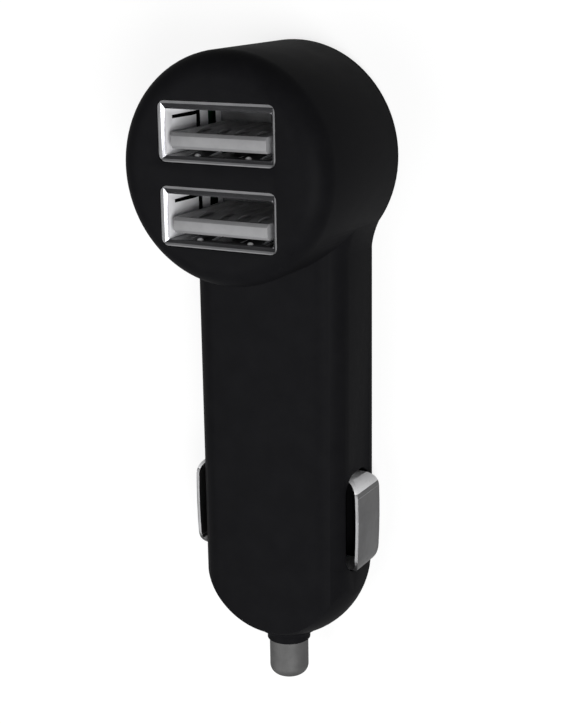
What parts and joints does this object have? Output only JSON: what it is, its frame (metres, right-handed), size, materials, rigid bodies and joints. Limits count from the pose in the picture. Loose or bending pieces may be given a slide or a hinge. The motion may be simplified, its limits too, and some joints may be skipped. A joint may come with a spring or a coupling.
{
  "type": "car usb charger plug",
  "caption": "Car USB charger plug: round head with USB-A ports in its flat front, flat-sided barrel with a round end, sprung side contacts and a sprung tip pin.",
  "frame": {"origin": "centre of the overall length and width, on the flat back that the part lies on", "axes": "+Y from the tip pin towards the round head, +Z out of the face with the ports, X = 0 midway between the side contacts"},
  "size_m": [0.0246, 0.0742, 0.0191],
  "materials": {
    "black_plastic": "satin black moulded plastic",
    "shell_steel": "nickel-plated sheet steel",
    "tongue_plastic": "grey moulded insulator",
    "contact_gold": "thin gold plating",
    "pin_nickel": "satin nickel-plated brass",
    "contact_steel": "satin nickel-plated spring steel",
    "spring_steel": "drawn spring wire",
    "terminal_brass": "tin-plated brass",
    "board_green": "green solder mask",
    "can_metal": "aluminium can in a printed sleeve, print left out",
    "ferrite": "dark grey ferrite",
    "copper": "lacquered copper wire",
    "chip_black": "black moulding compound",
    "chip_pale": "ceramic with tinned ends"
  },
  "bodies": {
    "case": {"housing": "black_plastic", "rear_cover": "black_plastic", "upper_socket_shell": "shell_steel", "lower_socket_shell": "shell_steel", "upper_socket_tongue": "tongue_plastic", "lower_socket_tongue": "tongue_plastic", "upper_contact_1": "contact_gold", "upper_contact_2": "contact_gold", "upper_contact_3": "contact_gold", "upper_contact_4": "contact_gold", "lower_contact_1": "contact_gold", "lower_contact_2": "contact_gold", "lower_contact_3": "contact_gold", "lower_contact_4": "contact_gold", "tip_spring": "spring_steel", "tip_terminal": "terminal_brass", "circuit_board": "board_green", "input_capacitor": "can_metal", "output_capacitor": "can_metal", "choke_core": "ferrite", "choke_winding": "copper", "control_chip": "chip_black", "diode": "chip_black", "chip_resistor_1": "chip_black", "chip_resistor_2": "chip_black", "chip_fuse": "chip_pale", "chip_capacitor_1": "chip_pale", "chip_capacitor_2": "chip_pale"},
    "pin": {"tip_pin": "pin_nickel"},
    "right_contact": {"right_side_contact": "contact_steel"},
    "left_contact": {"left_side_contact": "contact_steel"}
  },
  "joints": [
    {"name": "tip_press", "type": "slide", "parent": "case", "child": "pin", "axis": [0, 1, 0], "range_m": [0, 0.0026], "stiffness_N_per_m": 1500, "springref_m": -0.002, "deforming": ["tip_spring"]},
    {"name": "right_contact_press", "type": "hinge", "parent": "case", "child": "right_contact", "pos_m": [0.00485, -0.02337, 0.00505], "axis": [0, 0, 1], "range_deg": [0, 5], "stiffness_Nm_per_rad": 0.23, "springref_deg": -1.72},
    {"name": "left_contact_press", "type": "hinge", "parent": "case", "child": "left_contact", "pos_m": [-0.00485, -0.02337, 0.00505], "axis": [0, 0, -1], "range_deg": [0, 5], "stiffness_Nm_per_rad": 0.23, "springref_deg": -1.72}
  ]
}
